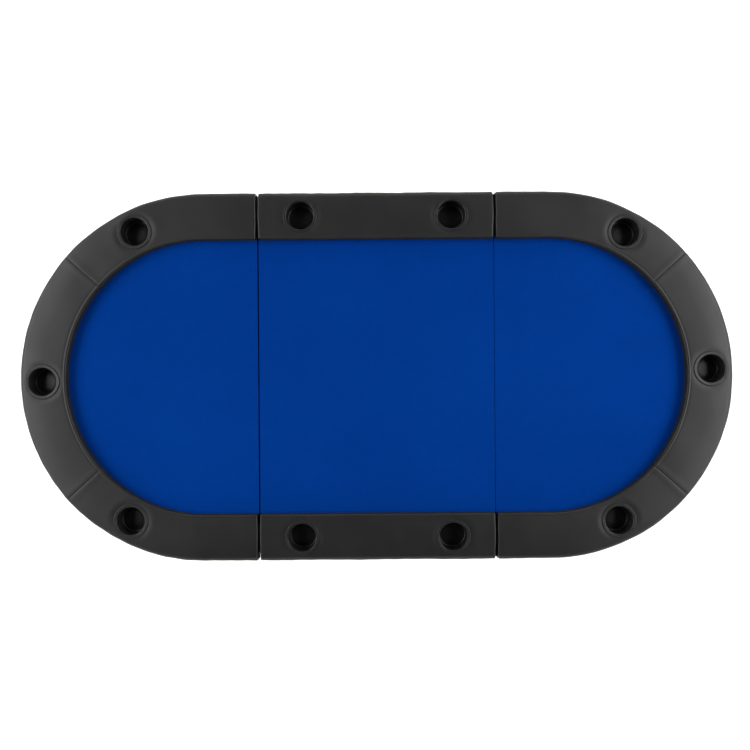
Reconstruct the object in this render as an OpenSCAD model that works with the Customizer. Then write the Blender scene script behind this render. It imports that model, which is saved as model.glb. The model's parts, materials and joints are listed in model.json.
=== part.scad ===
// Folding card table in three panels: a padded oval rail with cup holders round a cloth playing
// surface, hinged underneath at both seams, on four folding tube legs.
// +X runs along the table, +Z is up, and the origin is on the floor below the table's centre.

/* [Table top] */
// Overall length, over the padded rail
table_l = 2090; // [2070:2:2104]
// Overall width, over the padded rail
table_w = 1078; // [1068:2:1088]
// Height of the padded rail's top above the floor
table_h = 762; // [740:1:780]
// Distance between the two seams
middle_l = 696; // [692:1:704]
// Thickness of the boards
board_t = 15; // [12:0.5:16]
// Thickness of the foam sheet under the cloth
underlay_t = 3; // [2:0.5:5]
// Thickness of the cloth
cloth_t = 1; // [0.6:0.1:1.5]

/* [Padded rail] */
// Width of the rail, seen from above
rail_w = 137; // [130:1:140]
// Height of the rail above the board
rail_h = 32; // [28:1:38]
// Radius of the rail's long edges
rail_edge_r = 20; // [10:1:22]
// Gap between two rails at a seam
rail_gap = 8; // [4:0.5:12]
// Width of the seam in the cloth on the left
left_gap = 3.4; // [0.6:0.2:4]
// Width of the seam in the cloth on the right
right_gap = 0.8; // [0.4:0.2:4]

/* [Cup holders] */
// Inner radius of a cup holder
cup_r = 41; // [38:0.5:42]
// Radius of a cup holder's flange
cup_flange_r = 50; // [47:0.5:52]
// Depth of a cup holder, from the flange's top to its floor
cup_depth = 54; // [45:1:56]
// Distance of the middle panel's cup holders from the table's centre, along X
cup_x = 221; // [180:1:230]
// Angle of the left panel's front cup holder from the long axis
left_front_cup = 62.8; // [58:0.2:68]
// Angle of the left panel's end cup holder, in front of the long axis
left_end_cup = 1.2; // [0:0.2:4]
// Angle of the left panel's rear cup holder from the long axis
left_rear_cup = 65.0; // [58:0.2:68]
// Angle of the right panel's front cup holder from the long axis
right_front_cup = 65.0; // [58:0.2:68]
// Angle of the right panel's end cup holder, behind the long axis
right_end_cup = 1.8; // [0:0.2:4]
// Angle of the right panel's rear cup holder from the long axis
right_rear_cup = 61.8; // [58:0.2:68]

/* [Legs] */
// Distance of a leg pair from its seam
leg_d = 475; // [460:1:490]
// Distance of a leg's pivot from the long axis
leg_y = 362; // [356:1:366]
// Outside radius of a leg tube
tube_r = 12.5; // [11:0.5:12.5]
// How far a leg leans outwards, in degrees
splay = 4; // [2:0.5:6]

/* [Hinges] */
// Depth of the left seam's hinge pins below the boards
left_drop = 20; // [20:0.5:22]
// Depth of the right seam's hinge pins below the boards
right_drop = 52.5; // [52.5:0.5:56]
// Distance of the hinges from the long axis
hinge_y = 300; // [270:1:330]

/* [Hidden] */
$fn = 96;
eps = 0.01;
fit = 0.3;
seam_x = middle_l / 2;
end_r = table_w / 2;
arc_x = table_l / 2 - end_r;
skirt_t = 3;
board_r = end_r - skirt_t - fit;
rail_in_r = end_r - rail_w;
cloth_r = rail_in_r + 8;
underlay_back = cloth_t + 0.2;
lip_z = board_t + underlay_t + cloth_t + 0.1;
core_in_r = rail_in_r + 10;
core_out_r = end_r - 6;
core_t = 12;
rail_top = board_t + rail_h;
under_z = table_h - rail_top;
cup_line_r = end_r - rail_w / 2;
cup_wall = 2;
cup_hole_r = cup_r + cup_wall + 1;
flange_t = 2;
flange_proud = 0.5;
pivot_drop = 20;
bolt_r = 4;
bolt_bore_r = 4.05;
leg_pair_offset = 17;
cheek_in = tube_r + 0.75;
cheek_t = 2.5;
cheek_out = cheek_in + cheek_t;
bracket_half = 17;
base_half = 34;
stop_drop = 14;
lip_y = 14.1;
lip_h = 4.5;
knob_clear = 0.5;
knob_h = 13;
wing_l = 14.8;
wing_rise = 5;
tube_wall = 1.5;
tube_top = 11;
foot_r = 16;
foot_h = 45;
tube_clear = 7;
cradle_t = 2.4;
barrel_r = 4;
pin_r = 2;
pin_bore_r = 2.05;
hinge_l = 90;
hinge_knuckles = 5;
leaf_w = 34;
leaf_t = 2;
barrel_space = 5;
strip_w = 51;
strip_half = 520;
block_w = 38;
block_l = 116;
screw_r = 1.9;
screw_bore_r = 2;
screw_head_r = 3.8;
screw_head_t = 2;
flush_head_r = 3.6;
flush_head_t = 1.7;

LEFT = -1;
RIGHT = 1;
FRONT = -1;
REAR = 1;

// ---- Places -------------------------------------------------------------------------------

// Everything about a panel is drawn on the right and mirrored to the left.
module on_side(side) mirror([side < 0 ? 1 : 0, 0, 0]) children();

// From the boards' underside, which is height 0 in the modules of the top.
module on_top() translate([0, 0, under_z]) children();

function half_gap(side) = (side < 0 ? left_gap : right_gap) / 2;
function hinge_drop(side) = side < 0 ? left_drop : right_drop;

// A profile in (distance from the long axis, height), carried round one end of the table: along
// both straight stretches from start_x to the arc's centre, and round the half circle.
module end_sweep(start_x) {
    translate([arc_x, 0, 0]) rotate([0, 0, -90]) rotate_extrude(angle = 180) children();
    for (far = [0, 1])
        mirror([0, far, 0])
            translate([start_x, 0, 0]) rotate([90, 0, 90])
                linear_extrude(arc_x - start_x) children();
}

// The same profile along one long side of the middle panel, between two heights in X.
module middle_sweep(way, from_x, to_x)
    mirror([0, way < 0 ? 1 : 0, 0])
        translate([from_x, 0, 0]) rotate([90, 0, 90]) linear_extrude(to_x - from_x) children();

left_cup_angles = [-left_front_cup, -left_end_cup, left_rear_cup];
right_cup_angles = [-right_front_cup, right_end_cup, right_rear_cup];
function end_cup_places(side) = [
    for (a = side < 0 ? left_cup_angles : right_cup_angles)
        [arc_x + cup_line_r * cos(a), cup_line_r * sin(a)]
];
function middle_cup_places(way) = [for (x = [-cup_x, cup_x]) [x, way * cup_line_r]];

module at_places(places) for (p = places) translate([p[0], p[1], 0]) children();

// ---- Boards and cloth ---------------------------------------------------------------------

module cup_holes(places) at_places(places) translate([0, 0, -1]) cylinder(r = cup_hole_r, h = 200);

end_rail_screw_places = [
    for (a = [-78, -36, -16, 16, 36, 78])
        [arc_x + (core_out_r - 14) * cos(a), (core_out_r - 14) * sin(a)]
];
middle_rail_screw_places = [
    for (x = [-285, -110, 110, 285], way = [FRONT, REAR]) [x, way * (core_out_r - 14)]
];

module screw_holes(places, depth)
    at_places(places) translate([0, 0, -1]) cylinder(r = screw_bore_r, h = depth + 1, $fn = 24);

// Pan-head screws driven upwards, their heads below height 0.
module screws(places, depth)
    at_places(places) {
        translate([0, 0, -screw_head_t]) cylinder(r = screw_head_r, h = screw_head_t, $fn = 24);
        translate([0, 0, -eps]) cylinder(r = screw_r, h = depth, $fn = 24);
    }

module end_board(side)
    color("burlywood") on_side(side) on_top() difference() {
        end_sweep(seam_x + half_gap(side)) square([board_r, board_t]);
        cup_holes(end_cup_places(side));
        screw_holes(end_rail_screw_places, board_t + 1);
        screw_holes(bracket_screw_places, 10);
    }

module middle_board()
    color("burlywood") on_top() difference() {
        translate([-seam_x + half_gap(LEFT), -board_r, 0])
            cube([middle_l - half_gap(LEFT) - half_gap(RIGHT), 2 * board_r, board_t]);
        for (way = [FRONT, REAR]) cup_holes(middle_cup_places(way));
        screw_holes(middle_rail_screw_places, board_t + 1);
    }

// A sheet of the playing surface, from the given height above the board. Its edge stands back from
// the board's at each seam.
module end_sheet(side, height, thickness, back)
    on_side(side) on_top() translate([0, 0, board_t + height])
        end_sweep(seam_x + half_gap(side) + back) square([cloth_r, thickness]);

module middle_sheet(height, thickness, back)
    on_top() translate([-seam_x + half_gap(LEFT) + back, -cloth_r, board_t + height])
        cube([middle_l - half_gap(LEFT) - half_gap(RIGHT) - 2 * back, 2 * cloth_r, thickness]);

module end_underlay(side) color("lightgray") end_sheet(side, 0, underlay_t, underlay_back);
module middle_underlay() color("lightgray") middle_sheet(0, underlay_t, underlay_back);
module end_cloth(side) color("mediumblue") end_sheet(side, underlay_t, cloth_t, 0);
module middle_cloth() color("mediumblue") middle_sheet(underlay_t, cloth_t, 0);

// ---- Padded rails -------------------------------------------------------------------------

function arc(cx, cy, r, from_a, to_a, n = 6) =
    [for (i = [0:n]) let (a = from_a + (to_a - from_a) * i / n) [cx + r * cos(a), cy + r * sin(a)]];

// The pad over its plywood core, with a skirt over the board's edge. Its inner lip is on the cloth.
module rail_profile()
    polygon(concat(
        [[end_r, 0]],
        arc(end_r - rail_edge_r, rail_top - rail_edge_r, rail_edge_r, 0, 90),
        arc(rail_in_r + rail_edge_r, rail_top - rail_edge_r, rail_edge_r, 90, 180),
        [
            [rail_in_r, lip_z], [core_in_r - fit, lip_z],
            [core_in_r - fit, board_t + core_t + fit], [core_out_r + fit, board_t + core_t + fit],
            [core_out_r + fit, board_t], [end_r - skirt_t, board_t], [end_r - skirt_t, 0]
        ]
    ));

module core_profile()
    translate([core_in_r, board_t]) square([core_out_r - core_in_r, core_t]);

// A hole for the cup holder, with a seat for its flange.
module cup_seats(places) {
    cup_holes(places);
    at_places(places)
        translate([0, 0, rail_top + flange_proud - flange_t])
            cylinder(r = cup_flange_r + fit, h = 20);
}

rail_start_x = seam_x + rail_gap / 2;

module end_rail_pad(side)
    color([0.09, 0.09, 0.1]) on_side(side) on_top() difference() {
        end_sweep(rail_start_x) rail_profile();
        cup_seats(end_cup_places(side));
    }

module middle_rail_pad(way)
    color([0.09, 0.09, 0.1]) on_top() difference() {
        middle_sweep(way, -seam_x + rail_gap / 2, seam_x - rail_gap / 2) rail_profile();
        cup_seats(middle_cup_places(way));
    }

module end_rail_core(side)
    color("tan") on_side(side) on_top() difference() {
        end_sweep(rail_start_x + 6) core_profile();
        cup_holes(end_cup_places(side));
        screw_holes(end_rail_screw_places, board_t + 8);
    }

module middle_rail_cores()
    color("tan") on_top() difference() {
        for (way = [FRONT, REAR])
            middle_sweep(way, -seam_x + rail_gap / 2 + 6, seam_x - rail_gap / 2 - 6)
                core_profile();
        for (way = [FRONT, REAR]) cup_holes(middle_cup_places(way));
        screw_holes(middle_rail_screw_places, board_t + 8);
    }

// Flush-head screws driven upwards, their heads' faces at height 0.
module flush_screws(places, depth)
    at_places(places) {
        cylinder(r1 = flush_head_r, r2 = screw_r, h = flush_head_t, $fn = 24);
        cylinder(r = screw_r, h = depth, $fn = 24);
    }

module flush_holes(places)
    at_places(places) {
        translate([0, 0, -eps])
            cylinder(r1 = flush_head_r + 0.1, r2 = screw_bore_r, h = flush_head_t, $fn = 24);
        cylinder(r = screw_bore_r, h = 5, $fn = 24);
    }

module rail_screws(places) color("gray") on_top() screws(places, board_t + 7);

// ---- Cup holders --------------------------------------------------------------------------

module cup_holder() {
    top = rail_top + flange_proud;
    translate([0, 0, top - cup_depth - cup_wall]) difference() {
        union() {
            cylinder(r = cup_r + cup_wall, h = cup_depth + cup_wall);
            translate([0, 0, cup_depth + cup_wall - flange_t])
                cylinder(r = cup_flange_r, h = flange_t);
        }
        translate([0, 0, cup_wall]) cylinder(r = cup_r, h = cup_depth + 1);
    }
}

module cup_holders(places) color([0.06, 0.06, 0.06]) on_top() at_places(places) cup_holder();

// ---- Hinges under the seams ---------------------------------------------------------------

// Knuckles of one leaf, every second one from the given first. The pin's axis is Y.
module knuckles(first) {
    step = hinge_l / hinge_knuckles;
    for (k = [first:2:hinge_knuckles - 1])
        translate([0, -hinge_l / 2 + k * step + fit / 2, 0])
            rotate([-90, 0, 0]) cylinder(r = barrel_r, h = step - fit, $fn = 32);
}

leaf_screw_places = [for (y = [-32, 0, 32]) [22, y]];

// One leaf, towards +X, in a recess in the wood above it.
module hinge_leaf(first) {
    step = hinge_l / hinge_knuckles;
    difference() {
        union() {
            knuckles(first);
            for (k = [first:2:hinge_knuckles - 1])
                translate([3, -hinge_l / 2 + k * step + fit / 2, fit])
                    cube([barrel_space + 3, step - fit, leaf_t]);
            translate([barrel_space + 1, -hinge_l / 2, fit])
                cube([leaf_w - barrel_space, hinge_l, leaf_t]);
        }
        rotate([-90, 0, 0]) translate([0, 0, -hinge_l])
            cylinder(r = pin_bore_r, h = 2 * hinge_l, $fn = 32);
        translate([0, 0, fit]) flush_holes(leaf_screw_places);
    }
}

module hinge_pin()
    rotate([-90, 0, 0]) translate([0, 0, -hinge_l / 2 - 2])
        cylinder(r = pin_r, h = hinge_l + 4, $fn = 32);

module leaf_recess()
    translate([barrel_space - 1, -hinge_l / 2 - fit, -1])
        cube([leaf_w - 2 + fit, hinge_l + 2 * fit, leaf_t + fit + 1]);

// The hinges of one seam: their pins' axes, with +X pointing away from the middle panel.
module at_hinges(side)
    on_side(side) on_top() translate([seam_x, 0, -hinge_drop(side)])
        for (y = [-hinge_y, hinge_y]) translate([0, y, 0]) children();

module outer_leaves(side) color("silver") at_hinges(side) hinge_leaf(1);
module middle_leaves(side) color("silver") at_hinges(side) mirror([1, 0, 0]) hinge_leaf(0);
module hinge_pins(side) color("silver") at_hinges(side) hinge_pin();

module outer_hinge_screws(side) color("silver") at_hinges(side) leaf_screws();
module leaf_screws() translate([0, 0, fit]) flush_screws(leaf_screw_places, 11);

module middle_hinge_screws()
    color("silver") for (side = [LEFT, RIGHT]) at_hinges(side) mirror([1, 0, 0]) leaf_screws();

module recess_for_hinges(side, way)
    at_hinges(side) mirror([way, 0, 0]) {
        leaf_recess();
        screw_holes(leaf_screw_places, 13);
    }

// A wooden strip along the left seam, on the middle panel (way 1) or the left one (way 0). Room is
// cut out of its lower edge for the hinges' barrels.
module seam_strip(way)
    color("burlywood") difference() {
        on_side(LEFT) on_top() translate([seam_x, 0, -left_drop + fit]) mirror([way, 0, 0])
            translate([fit, -strip_half, 0]) cube([strip_w - fit, 2 * strip_half, left_drop - fit]);
        recess_for_hinges(LEFT, way);
        at_hinges(LEFT) translate([-barrel_space, -hinge_l / 2 - 3, -1])
            cube([2 * barrel_space, hinge_l + 6, barrel_space + 2]);
    }

// Two hinge blocks at the right seam. They are deep enough for the right panel to close over the
// left one, and stand clear of its rounded end.
module hinge_blocks(way)
    color("burlywood") difference() {
        on_top() for (y = [-hinge_y, hinge_y])
            translate([seam_x, y, -right_drop + fit]) mirror([way, 0, 0])
                translate([barrel_space, -block_l / 2, 0]) cube([block_w, block_l, right_drop - fit]);
        recess_for_hinges(RIGHT, way);
    }

// ---- Legs ---------------------------------------------------------------------------------

function leg_x(way) = seam_x + leg_d + way * leg_pair_offset;

// A leg's own frame: the pivot's axis is X, the leg folds towards +Y and the knob is at -X.
module at_leg(side, way)
    on_side(side) on_top() translate([leg_x(way), way * leg_y, -pivot_drop])
        rotate([0, 0, way > 0 ? 180 : 0]) children();

bracket_screw_xy = [for (x = [-26, 26], y = [-20, 12]) [x, y]];
bracket_screw_places = [
    for (way = [FRONT, REAR], p = bracket_screw_xy)
        [leg_x(way) - way * p[0], way * leg_y - way * p[1]]
];

// A base plate, two cheeks, a stop plate on the outer side and a lip that the standing leg meets.
module leg_bracket() {
    cheek_h = pivot_drop - cheek_t + eps;
    difference() {
        union() {
            translate([-base_half, -28, pivot_drop - cheek_t]) cube([2 * base_half, 50, cheek_t]);
            for (x = [-cheek_out, cheek_in]) {
                translate([x, -bracket_half, 0]) cube([cheek_t, 2 * bracket_half, cheek_h]);
                translate([x, 0, 0]) rotate([0, 90, 0])
                    cylinder(r = bracket_half - 3, h = cheek_t, $fn = 48);
            }
            translate([-cheek_out, -bracket_half - cheek_t, -stop_drop])
                cube([2 * cheek_out, cheek_t + eps, stop_drop + cheek_h]);
            translate([-cheek_out, -bracket_half, -stop_drop])
                cube([2 * cheek_out, bracket_half - lip_y, lip_h]);
        }
        bolt_bore();
        for (p = bracket_screw_xy)
            translate([p[0], p[1], 0]) cylinder(r = screw_bore_r, h = pivot_drop + 1, $fn = 24);
    }
}

module leg_brackets(side)
    color([0.1, 0.1, 0.1]) for (way = [FRONT, REAR]) at_leg(side, way) leg_bracket();

module bracket_screws(side)
    color("silver") on_side(side) on_top() translate([0, 0, -cheek_t]) screws(bracket_screw_places, 11);

module pivot_bolt() {
    shank = cheek_out + knob_clear + knob_h + wing_rise + fit;
    translate([cheek_out + fit, 0, 0]) rotate([0, 90, 0]) cylinder(r = 7.2, h = 5, $fn = 6);
    translate([-shank, 0, 0]) rotate([0, 90, 0])
        cylinder(r = bolt_r, h = shank + cheek_out + fit + eps, $fn = 32);
}

module pivot_bolts(side) color("silver") for (way = [FRONT, REAR]) at_leg(side, way) pivot_bolt();

// A wing nut on the bolt, clear of the bracket by the width it is loosened.
module clamp_knob()
    translate([-cheek_out - knob_clear, 0, 0]) rotate([0, -90, 0]) difference() {
        union() {
            cylinder(r = 8.5, h = knob_h, $fn = 32);
            for (wing = [0, 1])
                mirror([wing, 0, 0]) translate([4, -2.5, 4])
                    cube([wing_l - 4, 5, knob_h - 4 + wing_rise]);
        }
        translate([0, 0, -1]) cylinder(r = bolt_bore_r, h = knob_h + wing_rise + 2, $fn = 32);
    }

module knob(side, way) color([0.05, 0.05, 0.05]) at_leg(side, way) clamp_knob();

leg_l = (under_z - pivot_drop) / cos(splay);

// Along the leg: height 0 is the pivot, and the tube runs down.
module along_leg() rotate([-splay, 0, 0]) children();

module bolt_bore()
    translate([-50, 0, 0]) rotate([0, 90, 0]) cylinder(r = bolt_bore_r, h = 100, $fn = 32);

module leg_tube(side, way)
    color([0.1, 0.1, 0.1]) at_leg(side, way) along_leg() difference() {
        translate([0, 0, -leg_l + tube_clear])
            cylinder(r = tube_r, h = leg_l - tube_clear + tube_top, $fn = 64);
        translate([0, 0, -leg_l]) cylinder(r = tube_r - tube_wall, h = leg_l + 60, $fn = 64);
        bolt_bore();
    }

module leg_plug(side, way)
    color([0.06, 0.06, 0.06]) at_leg(side, way) along_leg() difference() {
        translate([0, 0, -24]) cylinder(r = tube_r - tube_wall - 0.05, h = 24 + tube_top - 0.5, $fn = 64);
        bolt_bore();
    }

// The foot's sole is flat on the floor, although the leg leans.
module leg_foot(side, way)
    color([0.06, 0.06, 0.06]) at_leg(side, way) difference() {
        along_leg() translate([0, 0, -leg_l - 8]) cylinder(r = foot_r, h = foot_h + 8, $fn = 64);
        along_leg() translate([0, 0, -leg_l + tube_clear - 0.2])
            cylinder(r = tube_r + 0.1, h = foot_h, $fn = 64);
        translate([-100, -200, -under_z + pivot_drop - 100]) cube([200, 400, 100]);
    }

// A cradle on the board's underside, where the folded leg lies.
module leg_cradle()
    translate([0, leg_l - 74, 0]) {
        translate([-cheek_out, -12, pivot_drop - cradle_t]) cube([2 * cheek_out, 24, cradle_t]);
        for (x = [-cheek_in - cradle_t, cheek_in])
            translate([x, -12, -3]) cube([cradle_t, 24, pivot_drop + 3 - cradle_t + eps]);
    }

module leg_cradles(side)
    color([0.06, 0.06, 0.06]) for (way = [FRONT, REAR]) at_leg(side, way) leg_cradle();

// ---- Nodes --------------------------------------------------------------------------------

middle_board();
middle_underlay();
middle_cloth();
middle_rail_cores();
middle_rail_pad(FRONT);  // front_rail_pad
middle_rail_pad(REAR);  // rear_rail_pad
cup_holders(middle_cup_places(FRONT));  // front_cup_holders
cup_holders(middle_cup_places(REAR));  // rear_cup_holders
seam_strip(1);  // middle_seam_strip
hinge_blocks(1);  // middle_hinge_blocks
middle_leaves(LEFT);  // middle_left_hinge_leaves
middle_leaves(RIGHT);  // middle_right_hinge_leaves
hinge_pins(LEFT);  // left_hinge_pins
hinge_pins(RIGHT);  // right_hinge_pins
middle_hinge_screws();
rail_screws(middle_rail_screw_places);  // middle_rail_screws

end_board(LEFT);  // left_board
end_underlay(LEFT);  // left_underlay
end_cloth(LEFT);  // left_cloth
end_rail_core(LEFT);  // left_rail_core
end_rail_pad(LEFT);  // left_rail_pad
on_side(LEFT) cup_holders(end_cup_places(LEFT));  // left_cup_holders
seam_strip(0);  // left_seam_strip
outer_leaves(LEFT);  // left_hinge_leaves
outer_hinge_screws(LEFT);  // left_hinge_screws
on_side(LEFT) rail_screws(end_rail_screw_places);  // left_rail_screws
leg_brackets(LEFT);  // left_leg_brackets
bracket_screws(LEFT);  // left_bracket_screws
pivot_bolts(LEFT);  // left_pivot_bolts
leg_cradles(LEFT);  // left_leg_cradles

leg_tube(LEFT, FRONT);  // left_front_leg_tube
leg_plug(LEFT, FRONT);  // left_front_leg_plug
leg_foot(LEFT, FRONT);  // left_front_leg_foot
knob(LEFT, FRONT);  // left_front_clamp_knob

leg_tube(LEFT, REAR);  // left_rear_leg_tube
leg_plug(LEFT, REAR);  // left_rear_leg_plug
leg_foot(LEFT, REAR);  // left_rear_leg_foot
knob(LEFT, REAR);  // left_rear_clamp_knob

end_board(RIGHT);  // right_board
end_underlay(RIGHT);  // right_underlay
end_cloth(RIGHT);  // right_cloth
end_rail_core(RIGHT);  // right_rail_core
end_rail_pad(RIGHT);  // right_rail_pad
on_side(RIGHT) cup_holders(end_cup_places(RIGHT));  // right_cup_holders
hinge_blocks(0);  // right_hinge_blocks
outer_leaves(RIGHT);  // right_hinge_leaves
outer_hinge_screws(RIGHT);  // right_hinge_screws
on_side(RIGHT) rail_screws(end_rail_screw_places);  // right_rail_screws
leg_brackets(RIGHT);  // right_leg_brackets
bracket_screws(RIGHT);  // right_bracket_screws
pivot_bolts(RIGHT);  // right_pivot_bolts
leg_cradles(RIGHT);  // right_leg_cradles

leg_tube(RIGHT, FRONT);  // right_front_leg_tube
leg_plug(RIGHT, FRONT);  // right_front_leg_plug
leg_foot(RIGHT, FRONT);  // right_front_leg_foot
knob(RIGHT, FRONT);  // right_front_clamp_knob

leg_tube(RIGHT, REAR);  // right_rear_leg_tube
leg_plug(RIGHT, REAR);  // right_rear_leg_plug
leg_foot(RIGHT, REAR);  // right_rear_leg_foot
knob(RIGHT, REAR);  // right_rear_clamp_knob
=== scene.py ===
"""A folding card table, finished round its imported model: padded rails, cloth, cups, legs and light."""
import json
import math

import bmesh
import bpy
import numpy as np
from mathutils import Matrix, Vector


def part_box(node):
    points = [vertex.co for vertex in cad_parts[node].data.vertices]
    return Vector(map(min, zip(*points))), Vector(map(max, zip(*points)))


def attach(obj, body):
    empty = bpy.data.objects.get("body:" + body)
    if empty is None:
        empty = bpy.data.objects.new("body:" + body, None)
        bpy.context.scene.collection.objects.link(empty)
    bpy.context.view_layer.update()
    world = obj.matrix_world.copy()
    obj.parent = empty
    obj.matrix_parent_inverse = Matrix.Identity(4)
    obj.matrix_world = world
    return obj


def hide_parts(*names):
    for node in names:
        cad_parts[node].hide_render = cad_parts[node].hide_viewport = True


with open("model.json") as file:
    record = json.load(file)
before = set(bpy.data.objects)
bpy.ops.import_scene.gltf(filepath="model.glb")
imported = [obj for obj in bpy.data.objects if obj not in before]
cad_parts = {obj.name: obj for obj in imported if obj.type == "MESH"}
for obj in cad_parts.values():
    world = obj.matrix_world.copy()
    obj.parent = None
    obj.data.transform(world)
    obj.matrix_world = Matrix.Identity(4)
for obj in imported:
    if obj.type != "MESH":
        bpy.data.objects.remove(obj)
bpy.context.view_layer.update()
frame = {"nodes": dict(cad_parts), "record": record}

RECORD = frame["record"]
MM = 0.001


# ---- The table's own sizes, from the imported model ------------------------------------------

def box(node):
    """The lowest and highest corners of a node, as two arrays."""
    low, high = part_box(node)
    return np.array(low), np.array(high)


def joint(name):
    """The place of a joint's axis."""
    return next(np.array(j["pos_m"]) for j in RECORD["behaviour"]["joints"] if j["name"] == name)


def mount(name):
    """The place of a mount."""
    return next(np.array(m["pos_m"]) for m in RECORD["mounts"] if m["name"] == name)


rear_low, rear_high = box("rear_rail_pad")
end_low, end_high = box("right_rail_pad")
INNER_R, OUTER_R = rear_low[1], rear_high[1]
RAIL_TOP, UNDERSIDE = rear_high[2], rear_low[2]
MIDDLE_HALF = rear_high[0]
END_START = end_low[0]
ARC_X = end_high[0] - OUTER_R
RAIL_R = (INNER_R + OUTER_R) / 2
BOARD_TOP = box("middle_board")[1][2]
BOARD_R = box("middle_board")[1][1]
CLOTH_TOP = box("middle_cloth")[1][2]
CORE_TOP = box("right_rail_core")[1][2]
CORE_OUT = box("right_rail_core")[1][1]
CUP_TOP = box("rear_cup_holders")[1][2]
CUP_UNDER = box("rear_cup_holders")[0][2]
CORE_IN = INNER_R + 10 * MM
SEWN_ANGLE = math.radians(41.5)
FLANGE_R = 50 * MM

CUPS = {
    hole["name"][:-4]: np.mean(np.array(hole["box_m"])[:, :2], axis=0)
    for hole in RECORD["physics"]["openings"] if hole["name"].endswith("_cup")
}
SLOT_OF = {part["node"]: part["material_slot"] for part in RECORD["subparts"]}
BODY_OF = {node: body for body, nodes in RECORD["behaviour"]["bodies"].items() for node in nodes}
SIDES = (("left", -1), ("right", 1))
WAYS = (("front", -1), ("rear", 1))


# ---- Finishes ------------------------------------------------------------------------------

class Value:
    """One output of a shader node. Arithmetic on it adds Math nodes."""

    def __init__(self, tree, socket):
        self.tree = tree
        self.socket = socket

    def math(self, operation, *terms):
        node = self.tree.nodes.new("ShaderNodeMath")
        node.operation = operation
        for socket, term in zip(node.inputs, terms):
            plug(self.tree, socket, term)
        return Value(self.tree, node.outputs[0])

    def __add__(self, other):
        return self.math("ADD", self, other)

    def __sub__(self, other):
        return self.math("SUBTRACT", self, other)

    def __rsub__(self, other):
        return self.math("SUBTRACT", other, self)

    def __mul__(self, other):
        return self.math("MULTIPLY", self, other)

    def __pow__(self, other):
        return self.math("POWER", self, other)

    def sine(self):
        return self.math("SINE", self)

    def size(self):
        return self.math("ABSOLUTE", self)

    def root(self):
        return self.math("SQRT", self)

    def at_least(self, other):
        return self.math("MAXIMUM", self, other)

    def at_most(self, other):
        return self.math("MINIMUM", self, other)

    def steps(self, low, high):
        """0 below low, 1 above high, and smooth between them."""
        node = self.tree.nodes.new("ShaderNodeMapRange")
        node.interpolation_type = "SMOOTHSTEP"
        plug(self.tree, node.inputs["Value"], self)
        node.inputs["From Min"].default_value = low
        node.inputs["From Max"].default_value = high
        return Value(self.tree, node.outputs["Result"])

    __radd__ = __add__
    __rmul__ = __mul__


def plug(tree, socket, value):
    """Links a Value into a socket, or sets the socket to a number or a colour."""
    if isinstance(value, Value):
        tree.links.new(value.socket, socket)
    elif hasattr(value, "__len__") and len(value) == 3 and len(socket.default_value) == 4:
        socket.default_value = (*value, 1.0)
    else:
        socket.default_value = value


class Finish:
    """A material being made: its Principled shader, and the patterns that feed it."""

    def __init__(self, name, **constants):
        self.material = bpy.data.materials.new(name)
        self.material.use_nodes = True
        self.tree = self.material.node_tree
        self.shader = self.tree.nodes["Principled BSDF"]
        for socket, value in constants.items():
            plug(self.tree, self.shader.inputs[socket.replace("_", " ")], value)
        self.place = self.node("ShaderNodeTexCoord", output="Object")

    def node(self, kind, settings=None, inputs=None, output=0):
        """Any node: its settings first, then its inputs' values or links. Gives one output."""
        made = self.tree.nodes.new(kind)
        for name, value in (settings or {}).items():
            setattr(made, name, value)
        for name, value in (inputs or {}).items():
            plug(self.tree, made.inputs[name], value)
        return Value(self.tree, made.outputs[output])

    def noise(self, scale, detail=3.0, stretch=(1, 1, 1), rough=0.5):
        """Cloudy noise from 0 to 1, with scale features to the metre, finer where it is stretched."""
        where = self.node("ShaderNodeMapping", inputs={"Vector": self.place, "Scale": stretch})
        return self.node(
            "ShaderNodeTexNoise",
            inputs={"Vector": where, "Scale": scale, "Detail": detail, "Roughness": rough},
        )

    def cells(self, scale, feature="F1"):
        """Distance to the nearest of many scattered points, scale of them to the metre."""
        return self.node(
            "ShaderNodeTexVoronoi", {"feature": feature},
            {"Vector": self.place, "Scale": scale}, "Distance",
        )

    def axis(self, letter):
        """One coordinate of the place on the object, in metres."""
        return self.node("ShaderNodeSeparateXYZ", inputs={"Vector": self.place}, output=letter)

    def facing(self, letter):
        """How far the surface faces along one of the piece's own axes, from -1 to 1."""
        normal = self.node("ShaderNodeTexCoord", output="Normal")
        return self.node("ShaderNodeSeparateXYZ", inputs={"Vector": normal}, output=letter)

    def blend(self, factor, first, second):
        """A colour between two, by a factor."""
        mix = self.tree.nodes.new("ShaderNodeMix")
        mix.data_type = "RGBA"
        plug(self.tree, mix.inputs["Factor"], factor)
        for name, value in (("A", first), ("B", second)):
            sockets = [s for s in mix.inputs if s.name == name and s.type == "RGBA"]
            plug(self.tree, sockets[0], value)
        return Value(self.tree, next(s for s in mix.outputs if s.type == "RGBA"))

    def feed(self, **values):
        """Feeds sockets of the shader that change over the surface."""
        for socket, value in values.items():
            plug(self.tree, self.shader.inputs[socket.replace("_", " ")], value)
        return self

    def relief(self, height, depth, strength=1.0):
        """Bumps the surface by a height from 0 to 1, which stands for a depth in metres."""
        bump = self.node(
            "ShaderNodeBump", inputs={"Strength": strength, "Distance": depth, "Height": height},
        )
        plug(self.tree, self.shader.inputs["Normal"], bump)
        return self


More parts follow.
